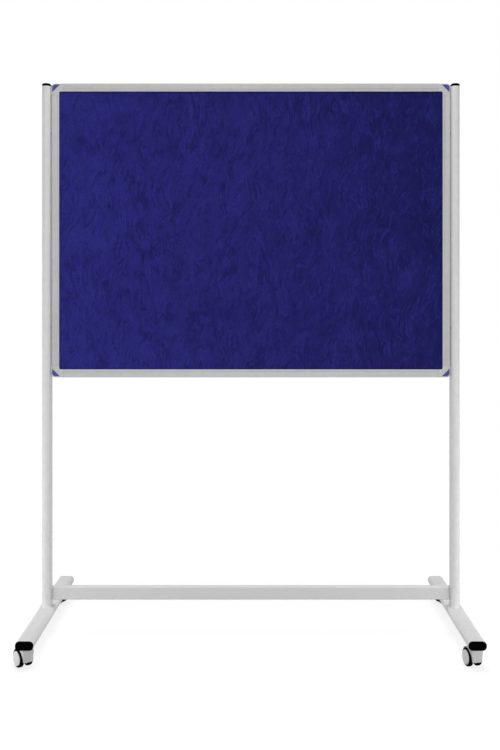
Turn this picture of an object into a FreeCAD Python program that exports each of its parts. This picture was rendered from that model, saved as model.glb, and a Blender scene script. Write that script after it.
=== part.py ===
import FreeCAD, Part
import math
import os
import types

import Sketcher

# A mobile pinboard: a framed board covered in felt, held between two posts on castor feet.
# The origin is on the floor under the middle of the board: +X right, +Y back, +Z up, millimetres.

SIZES = {
    # Board
    "board_width": 1200,
    "board_height": 883,
    "board_bottom": 770.5,
    "core_thickness": 10,
    "felt_thickness": 3,
    "felt_rise": 0.5,
    "felt_edge_gap": 0.3,
    "panel_edge_gap": 0.5,
    # Aluminium frame section
    "frame_face": 24,
    "frame_lip": 3,
    "frame_wall": 1.5,
    "frame_chamber": 10.5,
    "frame_edge_radius": 1.5,
    "frame_lip_radius": 0.8,
    "frame_crown": 0.5,
    "frame_groove_width": 1.6,
    "frame_groove_depth": 1.2,
    "frame_groove_inset": 5.6,
    # Moulded corners and their coloured caps
    "corner_radius": 13,
    "corner_inner_radius": 4,
    "corner_reach": 6,
    "corner_proud": 0.2,
    "corner_leg": 26,
    "corner_cap_margin": 3.5,
    "corner_cap_leg": 23,
    "corner_cap_radius": 10,
    "corner_cap_recess": 2,
    "corner_cap_proud": 1.2,
    "corner_cap_edge": 0.9,
    "corner_peg_radius": 2.4,
    "corner_peg_length": 6,
    # Flat-oval tube of the posts and feet, with its end caps
    "tube_width": 50,
    "tube_thickness": 25,
    "tube_flat": 2,
    "tube_wall": 1.5,
    "foot_length": 612,
    "post_drop": 1.5,
    "foot_cap_crown": 6,
    "post_cap_crown": 8,
    "cap_plug_length": 12,
    "cap_plug_wall": 2,
    "weld_leg": 3,
    # Lower rail
    "rail_height": 40,
    "rail_depth": 20,
    "rail_corner": 4,
    "rail_wall": 1.5,
    "rail_clear": 20,
    "rail_collar": 4,
    "rail_collar_inset": 0.5,
    "rail_neck": 3.5,
    "rail_neck_inset": 2.5,
    "rail_plug_length": 25,
    # Bolts, spacers and nuts
    "board_bolt_radius": 3,
    "board_bolt_head_radius": 5.25,
    "board_bolt_head": 2.6,
    "board_bolt_inset": 150,
    "board_bolt_tail": 2,
    "board_nut_length": 30,
    "board_nut_thickness": 6,
    "spacer_thickness": 1,
    "spacer_radius": 9,
    "rail_bolt_radius": 4,
    "rail_bolt_head_radius": 7,
    "rail_bolt_head": 2.8,
    "rail_bolt_grip": 20,
    "bolt_hole_gap": 0.3,
    # Castors
    "castor_inset": 31,
    "castor_trail": 20,
    "wheel_radius": 25,
    "wheel_inner": 7,
    "wheel_side_gap": 0.5,
    "wheel_width": 16.5,
    "wheel_hub_radius": 8,
    "wheel_rim_wall": 2.5,
    "wheel_disc_depth": 8,
    "wheel_dome": 2.8,
    "wheel_lip": 1,
    "wheel_lip_width": 2.2,
    "tyre_depth": 6.5,
    "tyre_side": 0.5,
    "tyre_shoulder": 2.2,
    "axle_radius": 3,
    "axle_reach": 10,
    "axle_end_gap": 0.5,
    "axle_boss_radius": 7,
    "hood_gap": 1.2,
    "hood_wall": 2.2,
    "hood_front_wall": 6,
    "hood_front_corner": 8,
    "hood_width": 32,
    "hood_tip_width": 25,
    "hood_front_drop": 6,
    "hood_back_rise": 20,
    "hood_shoulder_rise": 20,
    "stem_thread_radius": 5,
    "stem_tail": 2.5,
    "stem_neck": 1.3,
    "stem_collar_radius": 9,
    "stem_collar": 2,
    "stem_pin_radius": 4,
    "stem_pin_length": 25,
    "stem_boss_radius": 9.5,
    "stem_boss_depth": 16,
    "stem_nut_radius": 8,
    "stem_nut_height": 9,
    # Clearances, and how far a cut runs past what it cuts
    "seat_gap": 0.02,
    "plug_gap": 0.1,
    "running_gap": 0.05,
    "swivel_gap": 0.3,
    "cut_overrun": 1,
}

# How far the trailing wheels of each castor are swung round its stem, in degrees
CASTOR_TURNS = {"front_left": 40, "front_right": 14, "rear_left": 68, "rear_right": -68}

# Shares of a bolt's own radius and head
SOCKET_SHARE = 0.55
SOCKET_DEPTH_SHARE = 0.6
HEAD_TOP_SHARE = 0.7
HEAD_EDGE_SHARE = 0.3
# Shares of a weld's leg and of the end caps' crowns
WELD_SLOPE_SHARE = 0.8
FOOT_CAP_EDGE_SHARE = 0.8
POST_CAP_EDGE_SHARE = 0.45
# Drawing in both edges of a point of 45 degrees by a gap takes this many gaps off its length
POINT_SHARE = 1 + math.sqrt(2)

LEFT, RIGHT = -1, 1
FRONT, REAR = -1, 1
X_AXIS, Y_AXIS, Z_AXIS = FreeCAD.Vector(1, 0, 0), FreeCAD.Vector(0, 1, 0), FreeCAD.Vector(0, 0, 1)

doc = FreeCAD.newDocument("MobilePinboard")
sheet = doc.addObject("Spreadsheet::Sheet", "Sizes")
for row, (alias, number) in enumerate(SIZES.items(), start=1):
    sheet.set(f"A{row}", alias)
    sheet.set(f"B{row}", str(number))
    sheet.setAlias(f"B{row}", alias)
doc.recompute()

nodes = []


class Size:
    """A length that keeps its value together with the sheet formula that gives it."""

    def __init__(self, value, formula):
        self.value = value
        self.formula = formula

    def __add__(self, other):
        other = as_size(other)
        return Size(self.value + other.value, f"({self.formula} + {other.formula})")

    __radd__ = __add__

    def __sub__(self, other):
        other = as_size(other)
        return Size(self.value - other.value, f"({self.formula} - {other.formula})")

    def __rsub__(self, other):
        return as_size(other) - self

    def __mul__(self, other):
        other = as_size(other)
        return Size(self.value * other.value, f"({self.formula} * {other.formula})")

    __rmul__ = __mul__

    def __truediv__(self, other):
        other = as_size(other)
        return Size(self.value / other.value, f"({self.formula} / {other.formula})")

    def __neg__(self):
        return Size(-self.value, f"(-1 * {self.formula})")


def as_size(number):
    return number if isinstance(number, Size) else Size(number, f"({number!r})")


def root(size):
    return Size(math.sqrt(size.value), f"sqrt({size.formula})")


S = types.SimpleNamespace(**{alias: Size(sheet.get(alias), f"Sizes.{alias}") for alias in SIZES})

# Places that several pieces share
BOARD_TOP = S.board_bottom + S.board_height
BOARD_MIDDLE = S.board_bottom + S.board_height / 2
TUBE_CORNER = (S.tube_thickness - S.tube_flat) / 2
CORNER_SIZE = S.frame_face + S.corner_inner_radius + S.corner_reach
WELL_RADIUS = S.wheel_radius + S.hood_gap
HOOD_RADIUS = WELL_RADIUS + S.hood_wall
STEM_BOSS_TOP = S.wheel_radius + HOOD_RADIUS + S.stem_neck
CASTOR_HEIGHT = STEM_BOSS_TOP + S.swivel_gap + S.stem_collar
FOOT_TOP = CASTOR_HEIGHT + S.tube_thickness
POST_X = S.board_width / 2 + S.spacer_thickness + S.tube_thickness / 2
POST_INNER = POST_X - S.tube_thickness / 2
POST_OUTER = POST_X + S.tube_thickness / 2
POST_LENGTH = BOARD_TOP - S.post_drop - S.post_cap_crown - FOOT_TOP
RAIL_END_GAP = S.rail_collar + S.rail_neck
RAIL_HALF = POST_INNER - RAIL_END_GAP
RAIL_MIDDLE = FOOT_TOP + S.rail_clear + S.rail_height / 2
FOOT_TUBE_HALF = S.foot_length / 2 - S.foot_cap_crown
CASTOR_Y = S.foot_length / 2 - S.castor_inset
BOARD_BOLT_HEIGHTS = [S.board_bottom + S.board_bolt_inset, BOARD_TOP - S.board_bolt_inset]
SLOT_HALF = S.core_thickness / 2 + S.felt_thickness
FRAME_FLAT = SLOT_HALF + S.frame_lip - S.frame_crown
FRAME_HALF = SLOT_HALF + S.frame_lip
SLOT_FLOOR = S.frame_wall * 2 + S.frame_chamber
CHAMBER_HALF = FRAME_FLAT - S.frame_wall
PANEL_INSET = SLOT_FLOOR + S.panel_edge_gap
TYRE_SEAT = S.wheel_radius - S.tyre_depth
WHEEL_OUTER = S.wheel_inner + S.wheel_width
DISC_EDGE = WHEEL_OUTER - S.wheel_dome
DISC_RADIUS = TYRE_SEAT + S.wheel_lip
HOOD_WEB = (S.wheel_inner - S.wheel_side_gap) * 2
AXLE_HALF = S.wheel_inner + S.axle_reach


def tie(target, name, size):
    target.setExpression(name, as_size(size).formula)


def place(target, x, y, z, rotation=None):
    spot = [as_size(size) for size in (x, y, z)]
    base = FreeCAD.Vector(*[size.value for size in spot])
    target.Placement = FreeCAD.Placement(base, rotation or FreeCAD.Rotation())
    for letter, size in zip("xyz", spot):
        tie(target, f"Placement.Base.{letter}", size)


def about(axis, degrees):
    return FreeCAD.Rotation(axis, degrees)


def axes(x, y):
    """The rotation that takes a piece's own X and Y to these directions."""
    return FreeCAD.Rotation(x, y, x.cross(y), "XYZ")


def new_body(name):
    body = doc.addObject("PartDesign::Body", name)
    body.Label = name
    return body


def node(piece):
    """Marks a finished piece as one to write out."""
    nodes.append(piece)
    return piece


def group(name, pieces):
    """Like pieces kept together as one node of separate solids."""
    bundle = doc.addObject("Part::Compound", name)
    bundle.Label = name
    bundle.Links = pieces
    return node(bundle)


def sketch_on(body, role, lift=0):
    plane = next(item for item in body.Origin.OriginFeatures if item.Role == role)
    sketch = body.newObject("Sketcher::SketchObject", f"{body.Name}_sketch")
    sketch.AttachmentSupport = (plane, [""])
    sketch.MapMode = "FlatFace"
    tie(sketch, "AttachmentOffset.Base.z", lift)
    return sketch


def flat_point(corner):
    return FreeCAD.Vector(as_size(corner[0]).value, as_size(corner[1]).value, 0)


def bent_piece(start, end, radius):
    """The short arc between two points; a positive radius turns left, a negative one right."""
    chord = end - start
    left = FreeCAD.Vector(-chord.y, chord.x, 0).normalize()
    reach = math.sqrt(max(radius * radius - chord.Length * chord.Length / 4, 0))
    centre = (start + end) / 2 + left * math.copysign(reach, radius)
    first, last = (start, end) if radius > 0 else (end, start)
    angles = [math.atan2(spot.y - centre.y, spot.x - centre.x) for spot in (first, last)]
    if angles[1] < angles[0]:
        angles[1] += 2 * math.pi
    return Part.ArcOfCircle(Part.Circle(centre, Z_AXIS, abs(radius)), *angles)


def pin_point(sketch, geometry, end, corner):
    """Fixes one point of a sketch at two bound distances from the sketch's origin."""
    for kind, axis, size in (("DistanceX", -2, corner[0]), ("DistanceY", -1, corner[1])):
        size = as_size(size)
        if size.value == 0:
            sketch.addConstraint(Sketcher.Constraint("PointOnObject", geometry, end, axis))
            continue
        rule = sketch.addConstraint(Sketcher.Constraint(kind, -1, 1, geometry, end, size.value))
        tie(sketch, f"Constraints[{rule}]", size)


def pin_radius(sketch, geometry, radius):
    rule = sketch.addConstraint(Sketcher.Constraint("Radius", geometry, radius.value))
    tie(sketch, f"Constraints[{rule}]", radius)


def outline(sketch, corners):
    """A closed outline through (across, up) corners; a third entry is the radius of an arc to the next."""
    first = sketch.GeometryCount
    count = len(corners)
    ends = []
    for number, corner in enumerate(corners):
        start, stop = flat_point(corner), flat_point(corners[(number + 1) % count])
        bend = corner[2] if len(corner) > 2 else None
        backward = bend is not None and bend.value < 0
        piece = Part.LineSegment(start, stop) if bend is None else bent_piece(start, stop, bend.value)
        sketch.addGeometry(piece, False)
        ends.append((2, 1) if backward else (1, 2))
    for number, corner in enumerate(corners):
        following = (number + 1) % count
        meeting = (first + number, ends[number][1], first + following, ends[following][0])
        sketch.addConstraint(Sketcher.Constraint("Coincident", *meeting))
        pin_point(sketch, first + number, ends[number][0], corner)
        if len(corner) > 2:
            pin_radius(sketch, first + number, corner[2] if corner[2].value > 0 else -corner[2])


def circle(sketch, across, up, radius):
    centre = flat_point((across, up))
    geometry = sketch.addGeometry(Part.Circle(centre, Z_AXIS, radius.value), False)
    pin_point(sketch, geometry, 3, (across, up))
    pin_radius(sketch, geometry, radius)


def rectangle(sketch, left, right, low, high):
    outline(sketch, [(left, low), (right, low), (right, high), (left, high)])


def rounded_rectangle(sketch, across, up, radius):
    x, y = across / 2, up / 2
    outline(sketch, [
        (x - radius, -y, radius),
        (x, radius - y),
        (x, y - radius, radius),
        (x - radius, y),
        (radius - x, y, radius),
        (-x, y - radius),
        (-x, radius - y, radius),
        (radius - x, -y),
    ])


def ring_section(sketch, across, up, radius, wall):
    rounded_rectangle(sketch, across, up, radius)
    rounded_rectangle(sketch, across - wall * 2, up - wall * 2, radius - wall)


def extrude(body, kind, sketch, length, symmetric, backward):
    feature = body.newObject(f"PartDesign::{kind}", f"{body.Name}_{kind.lower()}")
    feature.Profile = sketch
    feature.SideType = "Symmetric" if symmetric else "One side"
    feature.Reversed = backward
    if length is None:
        feature.Type = "ThroughAll"
    else:
        tie(feature, "Length", length)
    doc.recompute()
    return feature


def pad(body, sketch, length, symmetric=False, backward=False):
    return extrude(body, "Pad", sketch, length, symmetric, backward)


def pocket(body, sketch, length=None, symmetric=False, backward=False):
    """Cuts the sketch out of the body, right through if no length is given, and makes sure that it cut."""
    before = body.Shape.Volume
    feature = extrude(body, "Pocket", sketch, length, symmetric, backward)
    if body.Shape.Volume >= before:
        raise ValueError(f"{feature.Name} cuts nothing")
    return feature


def revolve(body, sketch, axis):
    feature = body.newObject("PartDesign::Revolution", f"{body.Name}_revolution")
    feature.Profile = sketch
    feature.ReferenceAxis = (sketch, [axis])
    feature.Angle = 360
    doc.recompute()
    return feature


def dress_edges(body, kind, size_name, size, wanted):
    """Rounds or bevels the edges of the body's last feature that the test picks."""
    names = [f"Edge{i}" for i, edge in enumerate(body.Tip.Shape.Edges, start=1) if wanted(edge)]
    if not names:
        raise ValueError(f"no edges of {body.Name} to dress")
    base = body.Tip
    feature = body.newObject(f"PartDesign::{kind}", f"{body.Name}_{kind.lower()}")
    feature.Base = (base, names)
    tie(feature, size_name, size)
    doc.recompute()
    return feature


def round_edges(body, radius, wanted):
    return dress_edges(body, "Fillet", "Radius", radius, wanted)


def bevel_edges(body, size, wanted):
    return dress_edges(body, "Chamfer", "Size", size, wanted)


def at_height(size):
    """An edge test: the whole edge lies at this height in the body's own frame."""
    def test(edge):
        box = edge.BoundBox
        return max(abs(box.ZMin - size.value), abs(box.ZMax - size.value)) < S.seat_gap.value
    return test


# Posts, feet and their caps

def make_post(name, side):
    body = new_body(name)
    section = sketch_on(body, "XY_Plane")
    ring_section(section, S.tube_thickness, S.tube_width, TUBE_CORNER, S.tube_wall)
    pad(body, section, POST_LENGTH)
    holes = sketch_on(body, "YZ_Plane")
    circle(holes, 0, RAIL_MIDDLE - FOOT_TOP, S.rail_bolt_radius + S.bolt_hole_gap)
    for height in BOARD_BOLT_HEIGHTS:
        circle(holes, 0, height - FOOT_TOP, S.board_bolt_radius + S.bolt_hole_gap)
    pocket(body, holes, symmetric=True)
    place(body, POST_X * side, 0, FOOT_TOP)
    return node(body)


def post_outline(sketch, grow):
    rounded_rectangle(sketch, S.tube_thickness + grow * 2, S.tube_width + grow * 2, TUBE_CORNER + grow)


def make_weld(name, side):
    """The weld bead round the foot of a post."""
    body = new_body(name)
    bead = sketch_on(body, "XY_Plane")
    post_outline(bead, S.weld_leg)
    pad(body, bead, S.weld_leg)
    bevel_edges(body, S.weld_leg * WELD_SLOPE_SHARE, at_height(S.weld_leg))
    opening = sketch_on(body, "XY_Plane")
    post_outline(opening, S.seat_gap)
    pocket(body, opening, symmetric=True)
    place(body, POST_X * side, 0, FOOT_TOP)
    return body


def make_foot(name, side):
    body = new_body(name)
    section = sketch_on(body, "XZ_Plane")
    ring_section(section, S.tube_width, S.tube_thickness, TUBE_CORNER, S.tube_wall)
    pad(body, section, FOOT_TUBE_HALF * 2, symmetric=True)
    holes = sketch_on(body, "XY_Plane", -S.tube_thickness / 2)
    for end in (FRONT, REAR):
        circle(holes, 0, CASTOR_Y * end, S.stem_thread_radius + S.bolt_hole_gap)
    pocket(body, holes, S.tube_wall + S.cut_overrun, backward=True)
    place(body, POST_X * side, 0, CASTOR_HEIGHT + S.tube_thickness / 2)
    return node(body)


def make_end_cap(name, height, edge_share, x, y, z, rotation=None):
    """A domed cap on the end of a tube, with a hollow plug inside it."""
    body = new_body(name)
    crown = sketch_on(body, "XY_Plane")
    rounded_rectangle(crown, S.tube_thickness, S.tube_width, TUBE_CORNER)
    pad(body, crown, height)
    round_edges(body, height * edge_share, at_height(height))
    plug = sketch_on(body, "XY_Plane")
    inset = S.tube_wall + S.plug_gap
    across, along = S.tube_thickness - inset * 2, S.tube_width - inset * 2
    ring_section(plug, across, along, TUBE_CORNER - inset, S.cap_plug_wall)
    pad(body, plug, S.cap_plug_length, backward=True)
    place(body, x, y, z, rotation)
    return node(body)


# Lower rail

def make_rail():
    body = new_body("lower_rail")
    section = sketch_on(body, "YZ_Plane")
    ring_section(section, S.rail_depth, S.rail_height, S.rail_corner, S.rail_wall)
    pad(body, section, RAIL_HALF * 2, symmetric=True)
    place(body, 0, 0, RAIL_MIDDLE)
    return node(body)


def make_rail_plug(name, side):
    """The threaded plug in one end of the rail; its neck and collar stand between the rail and the post."""
    body = new_body(name)
    neck = sketch_on(body, "YZ_Plane")
    inset = S.rail_neck_inset
    rounded_rectangle(neck, S.rail_depth - inset * 2, S.rail_height - inset * 2, S.rail_corner - inset)
    pad(body, neck, RAIL_END_GAP)
    collar = sketch_on(body, "YZ_Plane", S.rail_neck)
    inset = S.rail_collar_inset
    rounded_rectangle(collar, S.rail_depth - inset * 2, S.rail_height - inset * 2, S.rail_corner - inset)
    pad(body, collar, S.rail_collar)
    plug = sketch_on(body, "YZ_Plane")
    inset = S.rail_wall + S.plug_gap
    rounded_rectangle(plug, S.rail_depth - inset * 2, S.rail_height - inset * 2, S.rail_corner - inset)
    pad(body, plug, S.rail_plug_length, backward=True)
    hole = sketch_on(body, "YZ_Plane")
    circle(hole, 0, 0, S.rail_bolt_radius + S.seat_gap)
    pocket(body, hole, symmetric=True)
    place(body, RAIL_HALF * side, 0, RAIL_MIDDLE, facing(side))
    return body


# Bolts, spacers and nuts

def facing(side):
    """A piece made to face right, turned to face the given side."""
    return about(Z_AXIS, 0 if side == RIGHT else 180)


def make_bolt(name, side, height, radius, length, head_radius, head):
    """A button-head bolt put in from outside a post, with a six-sided socket in its head."""
    body = new_body(name)
    profile = sketch_on(body, "XY_Plane")
    point = radius * HEAD_EDGE_SHARE
    outline(profile, [
        (head, 0),
        (head, head_radius * HEAD_TOP_SHARE),
        (head * HEAD_EDGE_SHARE, head_radius),
        (0, head_radius),
        (0, radius),
        (point - length, radius),
        (-length, radius - point),
        (-length, 0),
    ])
    revolve(body, profile, "H_Axis")
    socket = sketch_on(body, "YZ_Plane", head)
    turns = [math.radians(60 * number) for number in range(6)]
    reach = radius * SOCKET_SHARE
    outline(socket, [(reach * math.cos(turn), reach * math.sin(turn) if number % 3 else 0)
                     for number, turn in enumerate(turns)])
    pocket(body, socket, head * SOCKET_DEPTH_SHARE)
    place(body, POST_OUTER * side, 0, height, facing(side))
    return body


def make_board_bolts():
    length = S.tube_thickness + S.spacer_thickness + S.frame_wall + S.board_nut_thickness + S.board_bolt_tail
    pieces = []
    for side in (LEFT, RIGHT):
        for height in BOARD_BOLT_HEIGHTS:
            pieces.append(make_bolt("board_bolt", side, height, S.board_bolt_radius, length,
                                    S.board_bolt_head_radius, S.board_bolt_head))
    return group("board_bolts", pieces)


def make_rail_bolts():
    length = S.tube_thickness + RAIL_END_GAP + S.rail_bolt_grip
    pieces = [make_bolt("rail_bolt", side, RAIL_MIDDLE, S.rail_bolt_radius, length,
                        S.rail_bolt_head_radius, S.rail_bolt_head) for side in (LEFT, RIGHT)]
    return group("rail_bolts", pieces)


def make_board_spacer(side, height):
    body = new_body("board_spacer")
    section = sketch_on(body, "YZ_Plane")
    circle(section, 0, 0, S.spacer_radius)
    circle(section, 0, 0, S.board_bolt_radius + S.bolt_hole_gap)
    pad(body, section, S.spacer_thickness)
    place(body, S.board_width / 2 * side, 0, height, facing(side))
    return body


def make_board_nut(side, height):
    """The threaded plate inside a side of the frame that a board bolt is screwed into."""
    body = new_body("board_nut")
    section = sketch_on(body, "YZ_Plane")
    half_width = CHAMBER_HALF - S.plug_gap
    rectangle(section, -half_width, half_width, -S.board_nut_length / 2, S.board_nut_length / 2)
    circle(section, 0, 0, S.board_bolt_radius + S.seat_gap)
    pad(body, section, S.board_nut_thickness, backward=True)
    place(body, (S.board_width / 2 - S.frame_wall) * side, 0, height, facing(side))
    return body


def at_board_bolts(make):
    return [make(side, height) for side in (LEFT, RIGHT) for height in BOARD_BOLT_HEIGHTS]


# Board

def frame_section(sketch):
    """Half-hollow section: a crowned face, a groove and a lip each side, and a slot for the panel."""
    edge, lip = S.frame_edge_radius, S.frame_lip_radius
    flat, face = FRAME_FLAT, S.frame_face
    groove_end = face - S.frame_groove_inset
    groove_start = groove_end - S.frame_groove_width
    groove_floor = flat - S.frame_groove_depth
    half_crown = (groove_start - edge) / 2
    crown = (half_crown * half_crown + S.frame_crown * S.frame_crown) / (S.frame_crown * 2)
    outline(sketch, [
        (0, edge - flat, edge),
        (edge, -flat, crown),
        (groove_start, -flat),
        (groove_start, -groove_floor),
        (groove_end, -groove_floor),
        (groove_end, -flat),
        (face - lip, -flat, lip),
        (face, lip - flat),
        (face, -SLOT_HALF),
        (SLOT_FLOOR, -SLOT_HALF),
        (SLOT_FLOOR, SLOT_HALF),
        (face, SLOT_HALF),
        (face, flat - lip, lip),
        (face - lip, flat),
        (groove_end, flat),
        (groove_end, groove_floor),
        (groove_start, groove_floor),
        (groove_start, flat, crown),
        (edge, flat, edge),
        (0, flat - edge),
    ])
    rectangle(sketch, S.frame_wall, S.frame_wall + S.frame_chamber, -CHAMBER_HALF, CHAMBER_HALF)


def make_frame_side(name, span, x, z, rotation, bolted):
    body = new_body(name)
    section = sketch_on(body, "XY_Plane")
    frame_section(section)
    pad(body, section, span - CORNER_SIZE * 2, symmetric=True)
    if bolted:
        holes = sketch_on(body, "YZ_Plane")
        for height in BOARD_BOLT_HEIGHTS:
            circle(holes, 0, height - BOARD_MIDDLE, S.board_bolt_radius + S.bolt_hole_gap)
        pocket(body, holes, S.frame_wall + S.cut_overrun, backward=True)
    place(body, x, 0, z, rotation)
    return node(body)


def make_frame():
    half = S.board_width / 2
    make_frame_side("frame_left", S.board_height, -half, BOARD_MIDDLE, None, True)
    make_frame_side("frame_right", S.board_height, half, BOARD_MIDDLE, about(Z_AXIS, 180), True)
    make_frame_side("frame_bottom", S.board_width, 0, S.board_bottom, about(Y_AXIS, -90), False)
    make_frame_side("frame_top", S.board_width, 0, BOARD_TOP, about(Y_AXIS, 90), False)


def corner_cap_outline(sketch, gap):
    """A three-cornered outline with a round outer corner and a straight inner side, drawn in by a gap."""
    near, round_end = S.corner_cap_margin + gap, S.corner_cap_margin + S.corner_cap_radius
    point = S.corner_cap_margin + S.corner_cap_leg - gap * POINT_SHARE
    outline(sketch, [
        (near, round_end, S.corner_cap_radius - gap),
        (round_end, near),
        (point, near),
        (near, point),
    ])


def make_corner(name, x, z, rotation):
    """A moulded corner: it joins two sides of the frame by legs in their chambers and grips the panel."""
    body = new_body(name)
    half = FRAME_HALF + S.corner_proud
    face, size, inner = S.frame_face, CORNER_SIZE, S.corner_inner_radius
    shape = sketch_on(body, "XY_Plane")
    outline(shape, [
        (0, S.corner_radius, S.corner_radius),
        (S.corner_radius, 0),
        (size, 0),
        (size, face),
        (face + inner, face, -inner),
        (face, face + inner),
        (face, size),
        (0, size),
    ])
    pad(body, shape, half * 2, symmetric=True)

    def on_outside(edge):
        middle = edge.valueAt((edge.FirstParameter + edge.LastParameter) / 2)
        flat = at_height(half)(edge) or at_height(-half)(edge)
        return flat and min(middle.x, middle.y) < S.corner_radius.value / 2

    round_edges(body, S.frame_edge_radius, on_outside)
    slot = sketch_on(body, "XY_Plane")
    past = size + S.cut_overrun
    rectangle(slot, SLOT_FLOOR, past, SLOT_FLOOR, past)
    pocket(body, slot, SLOT_HALF * 2, symmetric=True)
    legs = sketch_on(body, "XY_Plane")
    near, far = S.frame_wall + S.plug_gap, S.frame_wall + S.frame_chamber - S.plug_gap
    rectangle(legs, size, size + S.corner_leg, near, far)
    rectangle(legs, near, far, size, size + S.corner_leg)
    pad(body, legs, (CHAMBER_HALF - S.plug_gap) * 2, symmetric=True)
    recess = sketch_on(body, "XY_Plane", -half)
    corner_cap_outline(recess, as_size(0))
    pocket(body, recess, S.corner_cap_recess, backward=True)
    hole = sketch_on(body, "XY_Plane", S.corner_cap_recess - half)
    peg = S.corner_cap_margin + S.corner_cap_leg / 3
    circle(hole, peg, peg, S.corner_peg_radius + S.plug_gap)
    pocket(body, hole, S.corner_peg_length + S.plug_gap, backward=True)
    place(body, x, 0, z, rotation)
    return node(body)


def make_corner_cap(name, x, z, rotation):
    """The coloured cap on the front of a corner, with a peg at its back."""
    body = new_body(name)
    floor = S.corner_cap_recess - FRAME_HALF - S.corner_proud
    top = floor - S.corner_cap_recess - S.corner_cap_proud
    shape = sketch_on(body, "XY_Plane", floor)
    corner_cap_outline(shape, S.plug_gap)
    pad(body, shape, S.corner_cap_recess + S.corner_cap_proud, backward=True)
    round_edges(body, S.corner_cap_edge, at_height(top))
    peg = sketch_on(body, "XY_Plane", floor)
    middle = S.corner_cap_margin + S.corner_cap_leg / 3
    circle(peg, middle, middle, S.corner_peg_radius)
    pad(body, peg, S.corner_peg_length)
    place(body, x, 0, z, rotation)
    return node(body)


def make_corners():
    half = S.board_width / 2
    spots = {
        "top_left": (-half, BOARD_TOP, axes(X_AXIS, -Z_AXIS)),
        "top_right": (half, BOARD_TOP, axes(-Z_AXIS, -X_AXIS)),
        "bottom_right": (half, S.board_bottom, axes(-X_AXIS, Z_AXIS)),
        "bottom_left": (-half, S.board_bottom, axes(Z_AXIS, X_AXIS)),
    }
    for corner, spot in spots.items():
        make_corner(f"corner_{corner}", *spot)
        make_corner_cap(f"corner_cap_{corner}", *spot)


def panel_rectangle(sketch):
    half_width = S.board_width / 2 - PANEL_INSET
    half_height = S.board_height / 2 - PANEL_INSET
    rectangle(sketch, -half_width, half_width, -half_height, half_height)


def make_core():
    body = new_body("board_core")
    section = sketch_on(body, "XZ_Plane")
    panel_rectangle(section)
    pad(body, section, S.core_thickness, symmetric=True)
    place(body, 0, 0, BOARD_MIDDLE)
    return node(body)


def make_felt(name, side):
    """A felt sheet on one face of the core: the frame pinches its edges, the rest stands a little proud."""
    body = new_body(name)
    section = sketch_on(body, "XZ_Plane")
    panel_rectangle(section)
    pad(body, section, S.felt_thickness)
    raised = sketch_on(body, "XZ_Plane")
    inset = (S.frame_face + S.felt_edge_gap) * 2
    rounded_rectangle(raised, S.board_width - inset, S.board_height - inset, S.corner_inner_radius)
    pad(body, raised, S.felt_thickness + S.felt_rise)
    place(body, 0, S.core_thickness / 2 * side, BOARD_MIDDLE, about(Z_AXIS, 0 if side == FRONT else 180))
    return node(body)


# Castors

class Castor:
    """Where one castor stands: its stem's axis and how far its wheels are swung round it."""

    def __init__(self, name):
        self.name = name
        end, side = name.split("_")
        self.x = POST_X * (LEFT if side == "left" else RIGHT)
        self.y = CASTOR_Y * (FRONT if end == "front" else REAR)
        self.turn = CASTOR_TURNS[name]

    def put(self, body, trail=0, height=0, flip=False):
        """Places a piece at a distance behind the stem, with its own X along the axle."""
        swing = math.radians(self.turn)
        trail = as_size(trail)
        x, y = self.x - trail * math.sin(swing), self.y + trail * math.cos(swing)
        place(body, x, y, height, about(Z_AXIS, self.turn + (180 if flip else 0)))
        return body


def make_stem(castor):
    """The threaded stem that the castor swivels on."""
    body = new_body("castor_stem")
    profile = sketch_on(body, "XZ_Plane")
    low, high = -S.stem_collar - S.stem_pin_length, S.tube_wall + S.stem_nut_height + S.stem_tail
    outline(profile, [
        (0, low),
        (S.stem_pin_radius, low),
        (S.stem_pin_radius, -S.stem_collar),
        (S.stem_collar_radius, -S.stem_collar),
        (S.stem_collar_radius, 0),
        (S.stem_thread_radius, 0),
        (S.stem_thread_radius, high),
        (0, high),
    ])
    revolve(body, profile, "V_Axis")
    return castor.put(body, height=CASTOR_HEIGHT)


def make_stem_nut(castor):
    """The nut inside the foot that a stem is screwed into."""
    body = new_body("castor_nut")
    section = sketch_on(body, "XY_Plane")
    circle(section, 0, 0, S.stem_nut_radius)
    circle(section, 0, 0, S.stem_thread_radius + S.seat_gap)
    pad(body, section, S.stem_nut_height)
    return castor.put(body, height=CASTOR_HEIGHT + S.tube_wall)


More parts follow.
